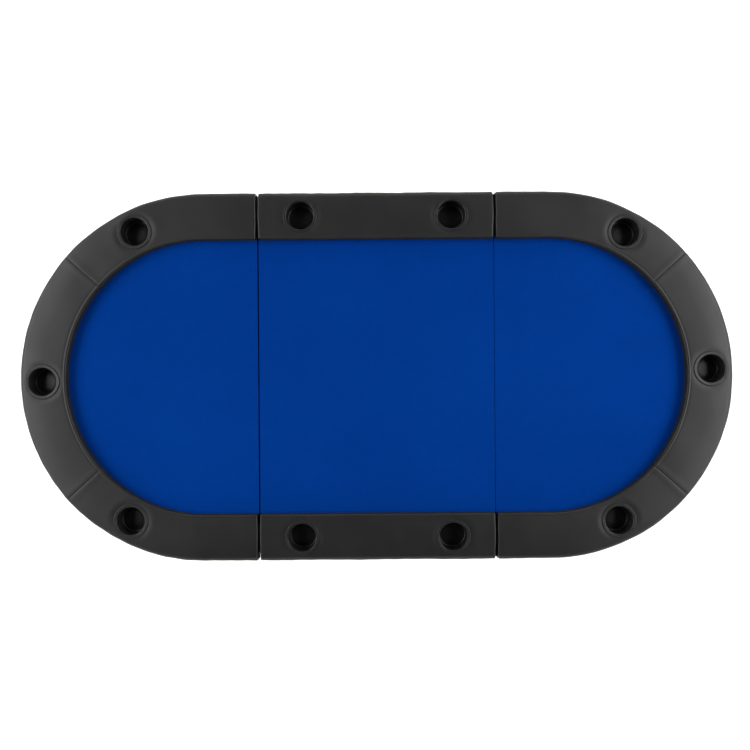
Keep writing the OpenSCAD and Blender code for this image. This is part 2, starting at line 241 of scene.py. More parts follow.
def leatherette():
    """Black grained leatherette: fine cells, faint mottling and a soft uneven gloss.

    It has painted shade: deep black down the inner wall, in the gap round each cup's flange and in the
    sewn seams, where shade falls.
    """
    f = Finish("leatherette", Specular_IOR_Level=0.46)
    past = (f.axis("X").size() - ARC_X).at_least(0)
    across, height = f.axis("Y").size(), f.axis("Z")
    r = (past ** 2 + across ** 2).root()
    # Painted shade: the inner wall below the crown is coloured near black, where it stands in shadow.
    inner = 1 - (r - RAIL_R).steps(-8 * MM, 0)
    wall = (1 - (height - RAIL_TOP).steps(-3.4 * MM, -1.7 * MM)) * inner
    # Painted shadow: a thin near-black ring in the gap round each cup's flange.
    nearest = None
    for x, y in CUPS.values():
        away = f.node("ShaderNodeVectorMath", {"operation": "DISTANCE"},
                      {0: f.place, 1: (x, y, RAIL_TOP - 2 * MM)}, "Value")
        nearest = away if nearest is None else nearest.at_most(away)
    gap = 1 - (nearest - (FLANGE_R + 0.6 * MM)).size().steps(0.9 * MM, 1.5 * MM)
    # Painted shade: a dark line down each sewn seam of the end rails.
    beside = (past * math.sin(SEWN_ANGLE) - across * math.cos(SEWN_ANGLE)).size()
    sewn = (1 - beside.steps(0.6 * MM, 1.3 * MM)) * past.steps(0, 1 * MM)
    # All the painted shade together: it turns the skin near black and makes it duller there.
    black = wall.at_least(gap).at_least(sewn * 0.85)
    grain = f.cells(760, "SMOOTH_F1") * 1.3
    wrinkle = f.noise(230, 4)
    mottle = f.noise(9, 4)
    skin = f.blend(mottle.steps(0.3, 0.7), (0.0055, 0.0055, 0.0058), (0.0085, 0.0085, 0.0088))
    f.feed(Base_Color=f.blend(black, skin, (0.0012, 0.0012, 0.0012)))
    f.feed(Roughness=0.40 + 0.10 * f.noise(26, 3) + 0.06 * grain + 0.3 * black)
    return f.relief(grain + wrinkle * 0.7, 0.00011).material


def cloth():
    """Royal blue woven cloth: a fine weave, a faint slub along the threads and a slight nap."""
    f = Finish("playing_cloth", Specular_IOR_Level=0.015)
    thread = math.tau / 0.0011
    warp = (f.axis("X") * thread).sine()
    weft = (f.axis("Y") * thread).sine()
    weave = warp * weft * 0.25 + warp * 0.12 + weft * 0.2 + 0.5
    slub = f.noise(1, 3, (30, 260, 1)) * 0.5 + f.noise(1, 3, (260, 30, 1)) * 0.5
    fleck = f.noise(420, 2)
    cloud = f.noise(3.5, 3)
    tone = slub * 0.35 + cloud * 0.25 + weave * 0.2 + fleck * 0.3
    f.feed(Base_Color=f.blend(tone.steps(0.3, 0.8), (0.0002, 0.028, 0.195), (0.0003, 0.041, 0.272)))
    f.feed(Roughness=0.84 + 0.1 * cloud)
    return f.relief(weave + slub * 0.4 + fleck * 0.5, 0.00014).material


def moulded(name, colour, rough, pits, depth):
    """Moulded plastic or rubber: a fine pitted skin with a faint change of gloss over it."""
    f = Finish(name)
    dust = f.noise(35, 4)
    skin = f.noise(pits, 2)
    darker = tuple(c * 0.72 for c in colour)
    f.feed(Base_Color=f.blend(dust.steps(0.35, 0.7), darker, colour))
    f.feed(Roughness=rough - 0.05 + 0.10 * dust + 0.04 * skin)
    return f.relief(skin, depth).material


def powder_coat(name):
    """Black powder coat: an orange-peel skin, a little duller where it has been handled."""
    f = Finish(name, Specular_IOR_Level=0.5)
    peel = f.noise(620, 2)
    handled = f.noise(11, 3)
    f.feed(Base_Color=f.blend(handled.steps(0.4, 0.75), (0.013, 0.013, 0.0135), (0.024, 0.024, 0.024)))
    f.feed(Roughness=0.36 + 0.16 * handled + 0.05 * peel)
    return f.relief(peel, 0.00006).material


def plated(name, colour, rough):
    """Zinc-plated or bright steel: fine brushed lines with a faint cloudy tarnish."""
    f = Finish(name)
    lines = f.noise(60, 3, (1, 30, 8))
    tarnish = f.noise(45, 4)
    worn = tuple(c * 0.7 for c in colour)
    f.feed(Base_Color=f.blend(tarnish.steps(0.3, 0.75), worn, colour), Metallic=0.9 + 0.1 * tarnish)
    f.feed(Roughness=rough + 0.12 * lines + 0.10 * tarnish)
    return f.relief(lines, 0.00002).material


def wood(name, pale, dark, grain_axis, plies=0.0, painted=False, seams=False):
    """Wood with its grain along one axis.

    With plies, thin layers show on its upright edges. Painted, it is black but for its underside.
    With seams, it has painted shade: black where it closes the gap between two panels, so the seam reads
    dark.
    """
    f = Finish(name, Specular_IOR_Level=0.35)
    stretch = {"X": (1, 14, 14), "Y": (14, 1, 14)}[grain_axis]
    figure = f.noise(2.6, 5, stretch, 0.6)
    pores = f.noise(55, 3, stretch)
    rings = ((figure * 34).sine() * 0.5 + 0.5) * 0.35 + figure * 0.65
    colour = f.blend(rings.steps(0.2, 0.8), pale, dark)
    colour = f.blend(pores.steps(0.58, 0.72) * 0.45, colour, tuple(c * 0.45 for c in dark))
    if plies:
        layers = (f.axis("Z") * (math.tau / plies)).sine().steps(-0.2, 0.4)
        upright = 1 - f.facing("Z").size().steps(0.3, 0.7)
        colour = f.blend(layers * upright * 0.6, colour, tuple(c * 0.5 for c in dark))
    if painted:
        colour = f.blend((f.facing("Z") * -1).steps(0.4, 0.6), (0.006, 0.006, 0.006), colour)
    # Painted shade: near black within 3 mm of the seam line, standing for the shade in the gap.
    if seams:
        beside = (f.axis("X").size() - (MIDDLE_HALF + END_START) / 2).size()
        colour = f.blend(beside.steps(2.5 * MM, 3 * MM), (0.006, 0.006, 0.006), colour)
    f.feed(Base_Color=colour, Roughness=0.52 + 0.16 * pores)
    return f.relief(pores * 0.7 + rings * 0.3, 0.00012).material


def foam():
    """Grey closed-cell foam."""
    f = Finish("foam_sheet", Specular_IOR_Level=0.2)
    cells = f.cells(900)
    f.feed(Base_Color=f.blend(cells, (0.30, 0.30, 0.31), (0.44, 0.44, 0.45)))
    f.feed(Roughness=0.8 + 0.1 * cells)
    return f.relief(cells, 0.0002).material


FINISHES = {
    "board": wood("board_plywood", (0.50, 0.345, 0.20), (0.36, 0.225, 0.115), "X", painted=True),
    "rail_core": wood("core_plywood", (0.56, 0.41, 0.25), (0.42, 0.28, 0.15), "Y", plies=2.8 * MM),
    # The seam timber carries painted shade in the gap between panels.
    "hinge_timber": wood("planed_timber", (0.58, 0.41, 0.22), (0.44, 0.27, 0.12), "Y", seams=True),
    "underlay": foam(),
    "cloth": cloth(),
    "rail_leatherette": leatherette(),
    "cup_plastic": moulded("cup_plastic", (0.014, 0.014, 0.0148), 0.34, 900, 0.00003),
    "hinge_steel": plated("hinge_zinc", (0.66, 0.66, 0.63), 0.26),
    "pin_steel": plated("pin_steel", (0.58, 0.58, 0.58), 0.20),
    "screw_steel": plated("screw_zinc", (0.68, 0.67, 0.62), 0.28),
    "bolt_steel": plated("bolt_zinc", (0.62, 0.62, 0.60), 0.26),
    "bracket_paint": powder_coat("bracket_powder_coat"),
    "leg_paint": powder_coat("leg_powder_coat"),
    "cradle_plastic": moulded("cradle_plastic", (0.020, 0.020, 0.020), 0.5, 700, 0.00005),
    "plug_plastic": moulded("plug_plastic", (0.022, 0.022, 0.022), 0.5, 700, 0.00005),
    "knob_plastic": moulded("knob_plastic", (0.018, 0.018, 0.0185), 0.42, 700, 0.00005),
    "foot_rubber": moulded("foot_rubber", (0.017, 0.017, 0.0165), 0.72, 420, 0.00012),
}


def finish_frame_nodes():
    """Every piece that stays as the model has it gets its finish."""
    for node, piece in frame["nodes"].items():
        piece.data.materials.clear()
        piece.data.materials.append(FINISHES[SLOT_OF[node]])


# ---- Mesh helpers --------------------------------------------------------------------------

def put_mesh(name, points, faces, closed=True):
    """A smooth mesh at the origin. A closed one gets its faces turned outwards."""
    mesh = bpy.data.meshes.new(name)
    mesh.from_pydata(np.asarray(points).tolist(), [], faces)
    if closed:
        turn_outwards(mesh)
    mesh.shade_smooth()
    piece = bpy.data.objects.new(name, mesh)
    bpy.context.collection.objects.link(piece)
    return piece


def turn_outwards(mesh):
    """Merges doubles and makes every face look out."""
    work = bmesh.new()
    work.from_mesh(mesh)
    bmesh.ops.remove_doubles(work, verts=work.verts, dist=1e-6)
    bmesh.ops.recalc_face_normals(work, faces=work.faces)
    work.to_mesh(mesh)
    work.free()


def grid_faces(rows, columns, wrap=False):
    """Quads of a grid whose points run row by row. wrap joins its last column to its first."""
    across = columns if wrap else columns - 1
    i, j = np.meshgrid(np.arange(rows - 1), np.arange(across), indexing="ij")
    here, beside = i * columns + j, i * columns + (j + 1) % columns
    return np.stack([here, beside, beside + columns, here + columns], -1).reshape(-1, 4)


def joined(parts):
    """Several (points, faces) pairs as one."""
    points, faces, count = [], [], 0
    for some_points, some_faces in parts:
        points.append(some_points)
        faces += [[corner + count for corner in face] for face in some_faces]
        count += len(some_points)
    return np.concatenate(points), faces


def lathe(profile, segments=96):
    """(r, h) points, from the axis round to the axis again, turned about Z: x = r cos a, y = r sin a."""
    profile = np.asarray(profile)
    ring = profile[1:-1]
    points = turned(ring, segments)
    faces = grid_faces(len(ring), segments, wrap=True).tolist()
    first, last = len(points), len(points) + 1
    end = (len(ring) - 1) * segments
    for k in range(segments):
        after = (k + 1) % segments
        faces.append([first, after, k])
        faces.append([last, end + k, end + after])
    poles = np.array([[0, 0, profile[0, 1]], [0, 0, profile[-1, 1]]])
    return np.concatenate([points, poles]), faces


def bored_lathe(profile, segments=48):
    """(r, h) points of a closed loop that stays off the axis, turned about Z."""
    loop = np.asarray(list(profile) + [profile[0]])
    return turned(loop, segments), grid_faces(len(loop), segments, wrap=True).tolist()


def turned(ring, segments):
    """Each (r, h) point as a circle: x = r cos a, y = r sin a, z = h."""
    turn = np.linspace(0, math.tau, segments, endpoint=False)
    x = np.outer(ring[:, 0], np.cos(turn))
    y = np.outer(ring[:, 0], np.sin(turn))
    z = np.repeat(ring[:, 1:2], segments, axis=1)
    return np.stack([x, y, z], -1).reshape(-1, 3)


def arc(centre, radius, start, stop, count):
    """Points of an arc, its angles in degrees."""
    angle = np.radians(np.linspace(start, stop, count))
    return np.stack([centre[0] + radius * np.cos(angle), centre[1] + radius * np.sin(angle)], -1)


def line(start, stop, count):
    """Points along a line, its first and last ones left out."""
    share = np.linspace(0, 1, count + 2)[1:-1, None]
    return np.asarray(start) * (1 - share) + np.asarray(stop) * share


def waves(seed, a, b, length, count=7):
    """Gentle relief from -1 to 1: the mean of sine waves of about one length in random directions."""
    draw = np.random.default_rng(seed)
    total = 0
    for _ in range(count):
        heading, shift = draw.uniform(0, math.tau, 2)
        size = length * draw.uniform(0.7, 1.5)
        total = total + np.sin(math.tau * (a * math.cos(heading) + b * math.sin(heading)) / size + shift)
    return total / math.sqrt(count)


def bell(distance, width):
    """1 at no distance, falling smoothly to 0 over about twice the width."""
    return np.exp(-(distance / width) ** 2)


def smooth(value):
    """0 below 0, 1 above 1, and smooth between them."""
    t = np.clip(value, 0, 1)
    return t * t * (3 - 2 * t)


def stand_for(piece, *nodes):
    """The piece takes the place and body of CAD nodes that share them, and the finish of their slot."""
    slot = SLOT_OF[nodes[0]]
    piece.data.materials.clear()
    piece.data.materials.append(FINISHES[slot])
    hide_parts(*nodes)
    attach(piece, BODY_OF[nodes[0]])
    return piece


# ---- Padded rails --------------------------------------------------------------------------

INNER_CORNER = 5 * MM
OUTER_CORNER = 14 * MM
OUTER_DROP = 4.5 * MM
INNER_DROP = 1.2 * MM
WRAP = 34 * MM
SKIN = 0.9 * MM
SETTLE = 1.5 * MM
END_ROUND = 4.5 * MM
CREASE = INNER_R + 6.5 * MM
CUP_HOLE_R = 43.5 * MM


def crown_drop(r):
    """How far the pad's top has fallen at r from its highest line, as the square of the distance."""
    share = (r - RAIL_R) / (OUTER_R - RAIL_R)
    return np.where(share > 0, OUTER_DROP, INNER_DROP) * share ** 2


def rail_section():
    """The rail's closed outline in (distance from the long axis, height).

    It goes up the inner wall, over the padded top and down the outer wall, under the board's edge,
    and back over the board and the core inside. With it comes the share of each point that is skin.
    The crown lowers the top by its drop, and what is under the top in proportion to its height.
    """
    lip = CLOTH_TOP + 0.25 * MM
    low = UNDERSIDE - SKIN
    skin = np.concatenate([
        arc((INNER_R + 2.5 * MM, lip + 2.5 * MM), 2.5 * MM, 270, 180, 5),
        line((INNER_R, lip + 2.5 * MM), (INNER_R, RAIL_TOP - INNER_CORNER), 9),
        arc((INNER_R + INNER_CORNER, RAIL_TOP - INNER_CORNER), INNER_CORNER, 180, 90, 12),
        line((INNER_R + INNER_CORNER, RAIL_TOP), (CREASE + 5 * MM, RAIL_TOP), 13),
        line((CREASE + 5 * MM, RAIL_TOP), (OUTER_R - OUTER_CORNER, RAIL_TOP), 30),
        arc((OUTER_R - OUTER_CORNER, RAIL_TOP - OUTER_CORNER), OUTER_CORNER, 90, 0, 18),
        line((OUTER_R, RAIL_TOP - OUTER_CORNER), (OUTER_R, low + 3 * MM), 12),
        arc((OUTER_R - 3 * MM, low + 3 * MM), 3 * MM, 0, -90, 5),
        line((OUTER_R - 3 * MM, low), (OUTER_R - WRAP, low), 7),
    ])
    share = smooth((skin[:, 1] - UNDERSIDE) / (RAIL_TOP - UNDERSIDE))
    skin[:, 1] -= crown_drop(skin[:, 0]) * share
    edge = BOARD_R + 0.4 * MM
    hidden = np.array([
        (OUTER_R - WRAP, low), (OUTER_R - WRAP, UNDERSIDE - 0.1 * MM), (edge, UNDERSIDE - 0.1 * MM),
        (edge, BOARD_TOP + 0.1 * MM), (CORE_OUT + 0.3 * MM, BOARD_TOP + 0.1 * MM),
        (CORE_OUT + 0.3 * MM, CORE_TOP + 0.3 * MM), (CORE_IN - 0.3 * MM, CORE_TOP + 0.3 * MM),
        (CORE_IN - 0.3 * MM, lip),
    ])
    return np.concatenate([skin, hidden]), np.r_[np.ones(len(skin)), np.zeros(len(hidden))]


def rail_stations(length, seams):
    """Distances along a rail: close together at its rounded ends and its sewn seams."""
    rounding = END_ROUND * (1 - np.cos(np.radians(np.linspace(0, 90, 9))))
    near_seam = np.array([-5, -3.4, -2.4, -1.7, -1.1, -0.55, 0, 0.55, 1.1, 1.7, 2.4, 3.4, 5]) * MM
    body = np.linspace(END_ROUND + 3 * MM, length - END_ROUND - 3 * MM, round(length / (5 * MM)))
    for seam in seams:
        body = body[np.abs(body - seam) > 7 * MM]
    close = [seam + near_seam for seam in seams]
    return np.sort(np.concatenate([rounding, length - rounding, body, *close]))


def end_rail_place(s, r):
    """The right end: x, y of distance s along the centre line and r from the long axis.

    The centre line runs along the front straight, round the half circle and back along the rear.
    """
    start = s - (ARC_X - END_START)
    angle = np.clip(start / RAIL_R, 0, math.pi) - math.pi / 2
    beyond = np.minimum(start, 0) - np.maximum(start - math.pi * RAIL_R, 0)
    return ARC_X + beyond + r * np.cos(angle), r * np.sin(angle)


def middle_rail_place(s, r):
    """The front of the middle panel: x, y of distance s along it and r from the long axis."""
    return s - MIDDLE_HALF, -r


def padded_rail(name, place, length, turned, seams, cups, seed):
    """A rail: its section carried along its path and swollen, dented and creased along its normals.

    The skin stands out by slow waves. It is drawn in by rounded ends, by a bell-shaped groove along
    each seam and at each cup's flange, with a soft swelling beside them, and by small pleats where
    the ends are wrapped.
    """
    section, skin = rail_section()
    s = rail_stations(length, seams)[:, None]
    ahead, behind = np.roll(section, -1, axis=0), np.roll(section, 1, axis=0)
    along = (ahead - behind) / np.linalg.norm(ahead - behind, axis=1)[:, None]
    out_r, out_z = -along[:, 1] * skin, along[:, 0] * skin
    r, z = section[:, 0] + 0 * s, section[:, 1] + 0 * s
    girth = np.cumsum(np.linalg.norm(section - behind, axis=1))[None, :]

    x, y = place(s, r)
    x, y = turned * x, turned * y
    to_end = np.minimum(s, length - s)
    padded = smooth((z - BOARD_TOP - 2 * MM) / (14 * MM)) * skin
    top = smooth((z + crown_drop(r) - RAIL_TOP + 5 * MM) / (5 * MM)) * skin
    outer_wall = smooth((r - OUTER_R + 6 * MM) / (6 * MM)) * skin

    swell = 0.40 * MM * waves(seed, s, girth, 0.16) * padded
    swell += 0.30 * MM * waves(seed + 50, s, girth * 0.3, 0.045) * outer_wall
    ease = smooth(to_end / (40 * MM))
    swell -= 0.30 * MM * bell(r - CREASE - 3 * MM, 2.4 * MM) * top
    swell += 0.35 * MM * bell(r - CREASE, 1.5 * MM) * top * ease
    for seam in seams:
        sewn = padded * (1 - 0.65 * outer_wall)
        pucker = 0.75 + 0.25 * np.cos(math.tau * girth / (5 * MM))
        swell -= 1.2 * MM * bell(s - seam, 1.1 * MM) * sewn * pucker
        swell += 0.5 * MM * bell(np.abs(s - seam) - 9 * MM, 8 * MM) * sewn
    for cup in cups:
        away = np.hypot(x - cup[0], y - cup[1]) - FLANGE_R
        swell += (crown_drop(r) - SETTLE) * np.where(away < 0, 1, bell(away, 7 * MM)) * top
        swell += 0.25 * MM * bell(away - 18 * MM, 11 * MM) * top
    corner = smooth((r - OUTER_R + 22 * MM) / (14 * MM)) * padded
    pleats = 0.5 - 0.5 * np.cos(math.tau * girth / (8.5 * MM))
    swell -= 0.9 * MM * pleats * bell(to_end, 13 * MM) * corner
    tight = END_ROUND - to_end
    inset = np.where(tight > 0, END_ROUND - np.sqrt(np.maximum(END_ROUND ** 2 - tight ** 2, 0)), 0)
    swell -= inset * padded

    r_out, z_out = r + out_r * swell, z + out_z * swell
    bulge = 1.3 * MM * np.sin(math.pi * (r - INNER_R) / (OUTER_R - INNER_R)) ** 2
    bulge += 0.5 * MM * waves(seed + 90, r, z, 0.06)
    leaning = np.sign(s - length / 2) * bell(to_end, 14 * MM) * bulge
    x, y = place(s + leaning * padded, r_out)
    points = np.stack([turned * x, turned * y, z_out], -1).reshape(-1, 3)

    rows, columns = len(s), len(section)
    faces = grid_faces(rows, columns, wrap=True).tolist()
    faces += [list(range(columns)), list(range((rows - 1) * columns, rows * columns))]
    rail = put_mesh(name, points, faces)
    bore(rail, cups)
    return rail


def bore(rail, cups):
    """Cuts a round hole for each cup right through a rail."""
    turn = np.linspace(0, math.tau, 72, endpoint=False)
    ring = np.stack([CUP_HOLE_R * np.cos(turn), CUP_HOLE_R * np.sin(turn), 0 * turn], -1)
    drills = []
    for cup in cups:
        low = ring + [cup[0], cup[1], UNDERSIDE - 20 * MM]
        high = ring + [cup[0], cup[1], RAIL_TOP + 20 * MM]
        caps = [list(range(72)), list(range(72, 144))]
        drills.append((np.concatenate([low, high]), grid_faces(2, 72, wrap=True).tolist() + caps))
    drill = put_mesh("drill", *joined(drills))
    cut = rail.modifiers.new("cup_holes", "BOOLEAN")
    cut.object = drill
    cut.operation = "DIFFERENCE"
    cut.solver = "MANIFOLD"
    apply_modifiers(rail)
    rail.data.set_sharp_from_angle(angle=math.radians(52))
    bpy.data.objects.remove(drill)


def apply_modifiers(piece):
    """The piece keeps the shape that its modifiers give, as its own mesh."""
    graph = bpy.context.evaluated_depsgraph_get()
    mesh = bpy.data.meshes.new_from_object(piece.evaluated_get(graph))
    piece.modifiers.clear()
    piece.data = mesh


def make_rails():
    """The two C-shaped end rails, each with two sewn seams, and the two straight middle ones."""
    end_length = 2 * (ARC_X - END_START) + math.pi * RAIL_R
    seams = [end_length / 2 + way * SEWN_ANGLE * RAIL_R for _, way in WAYS]
    for name, side in SIDES:
        cups = [place for cup, place in CUPS.items() if cup.startswith(name)]
        rail = padded_rail(
            f"{name}_padded_rail", end_rail_place, end_length, side, seams, cups, 3 + side,
        )
        stand_for(rail, f"{name}_rail_pad")
    for name, way in WAYS:
        cups = [place for cup, place in CUPS.items() if cup.startswith(name)]
        rail = padded_rail(
            f"{name}_padded_rail", middle_rail_place, 2 * MIDDLE_HALF, -way, [], cups, 13 + way)
        stand_for(rail, f"{name}_rail_pad")


# ---- Cloth ---------------------------------------------------------------------------------

CLOTH_THICK = 1.0 * MM
CLOTH_ROLL = 2.2 * MM


def cloth_sheet(name, rows_x, half_width, rolled):
    """A sheet of cloth with some thickness: z = the board's cloth height less the roll at a seam.

    rows_x are its distances along the table and half_width its half width at each. At an end that
    is rolled, the cloth goes over the edge in a quarter round and straight down beside the foam.
    """
    across = np.linspace(-1, 1, 121)
    turn = np.radians(np.linspace(0, 90, 6))
    x, z, w = rows_x, np.full(len(rows_x), CLOTH_TOP), half_width
    for end, sign in ((0, -1), (-1, 1)):
        if not rolled[end]:
            continue
        edge = x[end]
        roll_x = edge + sign * CLOTH_ROLL * (np.sin(turn) - 1)
        roll_z = CLOTH_TOP - CLOTH_ROLL * (1 - np.cos(turn))
        drop_x = np.full(3, edge)
        drop_z = np.linspace(CLOTH_TOP - CLOTH_ROLL - 0.5 * MM, BOARD_TOP + 0.3 * MM, 3)
        inside = np.abs(x - edge) > CLOTH_ROLL * 1.2
        kept_x, kept_z, kept_w = x[inside], z[inside], w[inside]
        new_x, new_z = np.r_[roll_x, drop_x], np.r_[roll_z, drop_z]
        new_w = np.full(len(new_x), w[end])
        if sign < 0:
            x, z, w = np.r_[new_x[::-1], kept_x], np.r_[new_z[::-1], kept_z], np.r_[new_w, kept_w]
        else:
            x, z, w = np.r_[kept_x, new_x], np.r_[kept_z, new_z], np.r_[kept_w, new_w]
    slope_x, slope_z = np.gradient(x), np.gradient(z)
    size = np.hypot(slope_x, slope_z)
    under_x, under_z = x + CLOTH_THICK * slope_z / size, z - CLOTH_THICK * slope_x / size
    top = np.stack([x[:, None] + 0 * across, w[:, None] * across, z[:, None] + 0 * across], -1)
    below = np.stack([
        under_x[:, None] + 0 * across, w[:, None] * across, under_z[:, None] + 0 * across,
    ], -1)
    loop = np.concatenate([top, below[:, ::-1]], axis=1)
    rows, columns = loop.shape[:2]
    faces = grid_faces(rows, columns, wrap=True).tolist()
    half = columns // 2
    for row in (0, rows - 1):
        first = row * columns
        faces += [[first + k, first + k + 1, first + columns - 2 - k, first + columns - 1 - k]
                  for k in range(half - 1)]
    piece = put_mesh(name, loop.reshape(-1, 3), faces)
    piece.data.set_sharp_from_angle(angle=math.radians(50))
    return piece


def make_cloth():
    """The cloth of each panel, tight over its foam and rolled over the edge at each seam."""
    low, high = box("middle_cloth")
    rows = np.linspace(low[0], high[0], 161)
    sheet = cloth_sheet("middle_playing_cloth", rows, np.full(161, high[1]), {0: True, -1: True})
    stand_for(sheet, "middle_cloth")
    length = high[0] - low[0] + 2 * (CLOTH_TOP - BOARD_TOP)
    for name, side in SIDES:
        low, high = box(f"{name}_cloth")
        radius = high[1]
        seam = min(abs(low[0]), abs(high[0]))
        straight = np.linspace(seam, ARC_X, 36)
        turn = np.radians(np.linspace(0, 88.5, 70))[1:]
        rows = np.r_[straight, ARC_X + radius * np.sin(turn)]
        widths = np.r_[np.full(36, radius), radius * np.cos(turn)]
        if side < 0:
            rows, widths = -rows[::-1], widths[::-1]
        sheet = cloth_sheet(f"{name}_playing_cloth", rows, widths, {0: side > 0, -1: side < 0})
        stand_for(sheet, f"{name}_cloth")
        drop = CLOTH_TOP - BOARD_TOP
        length = ARC_X + radius - seam + drop
        area = 2 * radius * (ARC_X - seam + drop) + math.pi * radius ** 2 / 2


# ---- Cup holders ---------------------------------------------------------------------------

def cup_profile():
    """Half section of a cup: a filleted floor, a drafted wall, a rolled mouth and a rimmed flange."""
    floor, top = CUP_UNDER + 2 * MM, CUP_TOP
    well, wall = 41 * MM, 43 * MM
    return np.concatenate([
        [(0, floor + 0.6 * MM)],
        line((0, floor + 0.6 * MM), (30 * MM, floor + 0.6 * MM), 1),
        arc((31 * MM, floor + 0.3 * MM), 0.4 * MM, 90, 0, 3),
        line((32 * MM, floor), (well - 5 * MM, floor), 1),
        arc((well - 4.4 * MM, floor + 4 * MM), 4 * MM, 270, 360, 8),
        line((well - 0.4 * MM, floor + 4 * MM), (well, top - 2.2 * MM), 4),
        arc((well + 2 * MM, top - 2.3 * MM), 2 * MM, 180, 90, 8),
        arc((FLANGE_R - 3.2 * MM, top - 0.3 * MM), 0.3 * MM, 180, 90, 3),
        arc((FLANGE_R - 1.3 * MM, top - 1.3 * MM), 1.3 * MM, 90, 0, 6),
        arc((FLANGE_R - 0.4 * MM, top - 1.7 * MM), 0.4 * MM, 0, -90, 3),
        line((FLANGE_R - 1 * MM, top - 2 * MM), (wall, top - 2 * MM), 1),
        [(wall, top - 2.1 * MM)],
        line((wall, top - 3 * MM), (wall - 0.4 * MM, CUP_UNDER + 3 * MM), 2),
        arc((wall - 3.4 * MM, CUP_UNDER + 3 * MM), 3 * MM, 0, -90, 6),
        [(0, CUP_UNDER)],
    ])


def make_cups():
    """The cup holders of each node, as one piece."""
    points, faces = lathe(cup_profile())
    for group in ("left", "right", "front", "rear"):
        places = [place for cup, place in CUPS.items() if cup.startswith(group)]
        cups = [(points + [place[0], place[1], 0], faces) for place in places]
        piece = put_mesh(f"{group}_cups", *joined(cups))
        piece.data.set_sharp_from_angle(angle=math.radians(48))
        stand_for(piece, f"{group}_cup_holders")


# ---- Feet, wing nuts and staples -----------------------------------------------------------

def stood(points, base, up, across=(1.0, 0.0, 0.0)):
    """Points moved to a base, with their Z along up and their X along across."""
    up = np.asarray(up) / np.linalg.norm(up)
    across = np.asarray(across)
    return base + points @ np.array([across, np.cross(up, across), up])


def foot_profile():
    """Half section of a rubber foot: a broad sole, three grooves, a taper and a lip round the tube."""
    sole, waist, lip, bore = 16 * MM, 15.2 * MM, 13.9 * MM, 12.55 * MM
    grooves = [arc((waist + 0.5 * MM, h * MM), 1.3 * MM, 250, 110, 7) for h in (14, 20, 26)]
    return np.concatenate([
        [(0, -2.2 * MM), (sole - 1.5 * MM, -2.2 * MM)],
        arc((sole - 1.5 * MM, 1.4 * MM), 1.5 * MM, -60, 30, 5),
        line((sole, 3 * MM), (waist + 0.3 * MM, 9 * MM), 2),
        *grooves,
        line((waist, 30 * MM), (lip, 40 * MM), 2),
        arc((lip - 1.1 * MM, 43.6 * MM), 1.3 * MM, 0, 150, 7),
        [(bore, 43 * MM), (bore, 7 * MM), (0, 7 * MM)],
    ])


def make_feet():
    """A ribbed rubber foot on each leg, along the leaning tube and flat on the floor."""
    points, faces = lathe(foot_profile(), 64)
    for name, _ in SIDES:
        for way, _ in WAYS:
            leg = f"{name}_{way}_leg"
            sole = mount(f"{name}_{way}_foot_sole")
            placed = stood(points, sole, joint(f"{leg}_fold") - sole)
            placed[:, 2] = np.maximum(placed[:, 2], 0)
            foot = put_mesh(f"{leg}_rubber_foot", placed, faces)
            foot.data.set_sharp_from_angle(angle=math.radians(40))
            stand_for(foot, f"{leg}_foot")


def rounded_plate(centre, radii, power, rows=20, columns=32):
    """A superellipsoid: each of its sine and cosine factors is raised to a power, its sign kept."""
    lift = np.linspace(-math.pi / 2, math.pi / 2, rows)[:, None]
    turn = np.linspace(0, math.tau, columns, endpoint=False)[None, :]
    circles = (np.cos(lift), np.sin(lift), np.cos(turn), np.sin(turn))
    bent = [np.sign(v) * np.abs(v) ** power for v in circles]
    shape = np.stack([bent[0] * bent[2], bent[1] + 0 * turn, bent[0] * bent[3]], -1).reshape(-1, 3)
    return np.asarray(centre) + shape * radii, grid_faces(rows, columns, wrap=True).tolist()


def wing_nut():
    """A tapered hub with a bore, a washer face, and two ears that lean outwards from it.

    The ears end inside the hub, clear of the bore.
    """
    bore, hub = 4.08 * MM, 8.3 * MM
    ear_root, ear_reach = 4.5 * MM, 9.2 * MM
    profile = np.concatenate([
        [(bore, 0.05 * MM), (hub - 0.4 * MM, 0.05 * MM)],
        arc((hub - 0.4 * MM, 0.5 * MM), 0.4 * MM, -60, 60, 4),
        [(hub - 0.6 * MM, 1.3 * MM), (hub - 0.9 * MM, 1.7 * MM)],
        arc((hub - 3.2 * MM, 11.4 * MM), 1.6 * MM, 0, 90, 6),
        [(bore, 13 * MM)],
    ])
    parts = [bored_lathe(profile)]
    for way in (-1, 1):
        ear, faces = rounded_plate((0, 0, 0), (4.6 * MM, 2.1 * MM, 7.4 * MM), 0.75)
        lean = math.radians(20) * way
        ear = ear @ np.array([
            [math.cos(lean), 0, -math.sin(lean)], [0, 1, 0], [math.sin(lean), 0, math.cos(lean)]])
        ear = ear + [ear_reach * way, 0, 10.2 * MM]
        ear[:, 0] = way * np.maximum(way * ear[:, 0], ear_root)
        parts.append((ear, faces))
    return joined(parts)


def make_wing_nuts():
    """A wing nut on each pivot bolt, on the outer side of its bracket."""
    points, faces = wing_nut()
    for name, side in SIDES:
        for way, sign in WAYS:
            low, high = box(f"{name}_{way}_clamp_knob")
            outward = side * sign
            face = low[0] if outward > 0 else high[0]
            base = joint(f"{name}_{way}_knob_turn") * [0, 1, 1] + [face, 0, 0]
            placed = stood(points, base, (outward, 0, 0), (0, 0, 1.0))
            nut = put_mesh(f"{name}_{way}_wing_nut", placed, faces)
            nut.data.set_sharp_from_angle(angle=math.radians(40))
            stand_for(nut, f"{name}_{way}_clamp_knob")


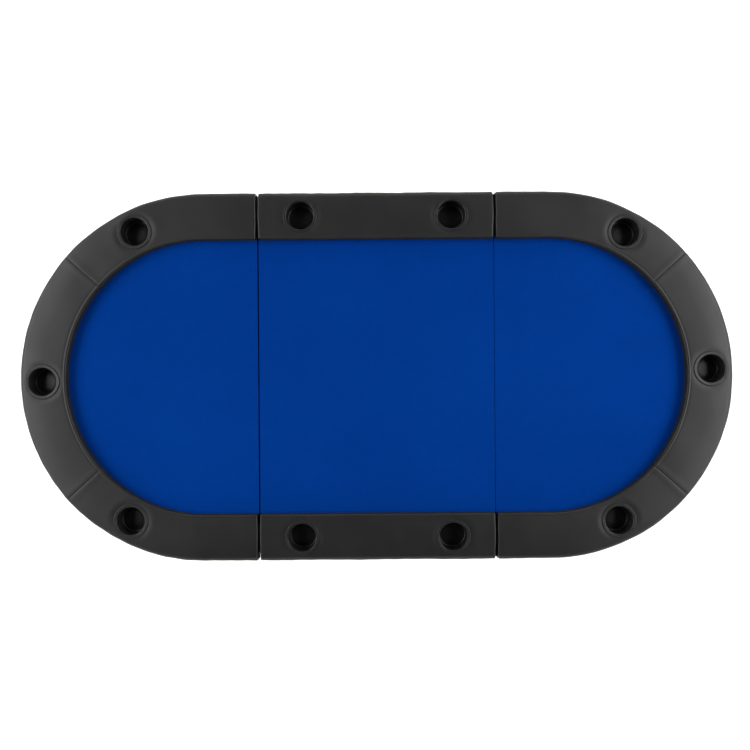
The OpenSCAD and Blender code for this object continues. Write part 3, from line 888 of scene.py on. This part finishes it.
def staple():
    """A staple's crown, seen from below: a flat wire with a bevelled face."""
    half_l, half_w, low, flush = 5.5 * MM, 0.6 * MM, -0.55 * MM, 0.1 * MM
    base = [(-half_l, -half_w), (half_l, -half_w), (half_l, half_w), (-half_l, half_w)]
    face = [(x * 0.94, y * 0.6) for x, y in base]
    points = np.array([(x, y, flush) for x, y in base] + [(x, y, low) for x, y in face])
    sides = [[k, (k + 1) % 4, (k + 1) % 4 + 4, k + 4] for k in range(4)]
    return points, [[0, 1, 2, 3], [7, 6, 5, 4], *sides]


def staple_row(place, length, clear):
    """Staples at an even pitch along a rail's path, each across the edge of the wrapped leatherette."""
    points, faces = staple()
    count = round((length - 2 * clear) / (24 * MM))
    row = []
    for k, s in enumerate(np.linspace(clear, length - clear, count)):
        here = np.array(place(s, OUTER_R - WRAP + 7 * MM))
        ahead = np.array(place(s + 1 * MM, OUTER_R - WRAP + 7 * MM))
        way = (ahead - here) / np.linalg.norm(ahead - here)
        slant = 0.22 * math.sin(2.4 * k)
        way = np.array([way[0] * math.cos(slant) - way[1] * math.sin(slant),
                        way[0] * math.sin(slant) + way[1] * math.cos(slant)])
        x = here[0] + points[:, 0] * way[0] - points[:, 1] * way[1]
        y = here[1] + points[:, 0] * way[1] + points[:, 1] * way[0]
        row.append((np.stack([x, y, UNDERSIDE - SKIN + points[:, 2]], -1), faces))
    return joined(row)


def make_staples():
    """The staples that hold the rails' leatherette under each board, away from the seam timbers."""
    end_length = 2 * (ARC_X - END_START) + math.pi * RAIL_R
    rows = {"middle": []}
    points, faces = staple_row(end_rail_place, end_length, 60 * MM)
    for name, side in SIDES:
        rows[name] = [(points * [side, 1, 1], faces)]
    points, faces = staple_row(middle_rail_place, 2 * MIDDLE_HALF, 60 * MM)
    for _, way in WAYS:
        rows["middle"].append((points * [1, -way, 1], faces))
    for name, row in rows.items():
        staples = put_mesh(f"{name}_wrap_staples", *joined(row))
        staples.data.shade_flat()
        staples.data.materials.append(FINISHES["screw_steel"])
        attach(staples, f"{name}_panel")


# ---- Camera, floor and light ---------------------------------------------------------------

def make_camera():
    """A camera straight above the table, turned by under half a degree."""
    camera = bpy.data.objects.new("camera", bpy.data.cameras.new("camera"))
    bpy.context.collection.objects.link(camera)
    camera.data.sensor_width = 36
    camera.data.lens = 39.02
    camera.location = (-5 * MM, 3 * MM, CLOTH_TOP + 2.40)
    camera.rotation_euler = (0, 0, math.radians(-0.43))
    camera.data.clip_end = 60
    bpy.context.scene.camera = camera


def softbox(name, place, aim, size, power):
    """A rectangular studio light that looks at a point."""
    light = bpy.data.lights.new(name, "AREA")
    light.shape = "RECTANGLE"
    light.size, light.size_y = size
    light.energy = power
    lamp = bpy.data.objects.new(name, light)
    bpy.context.collection.objects.link(lamp)
    lamp.location = place
    away = np.array(place) - np.array(aim)
    tilt = math.atan2(math.hypot(away[0], away[1]), away[2])
    lamp.rotation_euler = (0, tilt, math.atan2(away[1], away[0]))


def make_studio():
    """A pale floor that curves up all round, a softbox off each end of the table, and dim fill."""
    flat, bend, height = 9.0, 2.5, 7.0
    sweep = np.concatenate([
        [(0.01 * MM, 0), (flat, 0)], arc((flat, bend), bend, -80, 0, 9), [(flat + bend, height)],
    ])
    floor = put_mesh("floor", turned(sweep, 96), grid_faces(len(sweep), 96, wrap=True), closed=False)
    paint = bpy.data.materials.new("pale_floor")
    paint.use_nodes = True
    shader = paint.node_tree.nodes["Principled BSDF"]
    for socket, value in (("Base Color", (0.93, 0.93, 0.93, 1)), ("Roughness", 0.9),
                          ("Specular IOR Level", 0.1), ("Emission Color", (1, 1, 1, 1)),
                          ("Emission Strength", 0.42)):
        shader.inputs[socket].default_value = value
    floor.data.materials.append(paint)
    for (name, side), power in zip(SIDES, (108, 120)):
        softbox(f"{name}_softbox", (side * 3.1, 0.3, 2.9), (0, 0, 0.7), (1.8, 3.4), power)
    softbox("rear_softbox", (0, 3.6, 2.9), (0, 0, 0.7), (3.4, 1.4), 20)
    softbox("front_softbox", (0, -3.8, 2.6), (0, 0, 0.4), (3.4, 1.4), 5)
    world = bpy.data.worlds.new("studio")
    world.use_nodes = True
    world.node_tree.nodes["Background"].inputs["Color"].default_value = (1, 1, 1, 1)
    world.node_tree.nodes["Background"].inputs["Strength"].default_value = 0.05
    bpy.context.scene.world = world
    bpy.context.scene.view_settings.view_transform = "Standard"


make_camera()
make_studio()
finish_frame_nodes()
make_rails()
make_cloth()
make_cups()
make_feet()
make_wing_nuts()
make_staples()
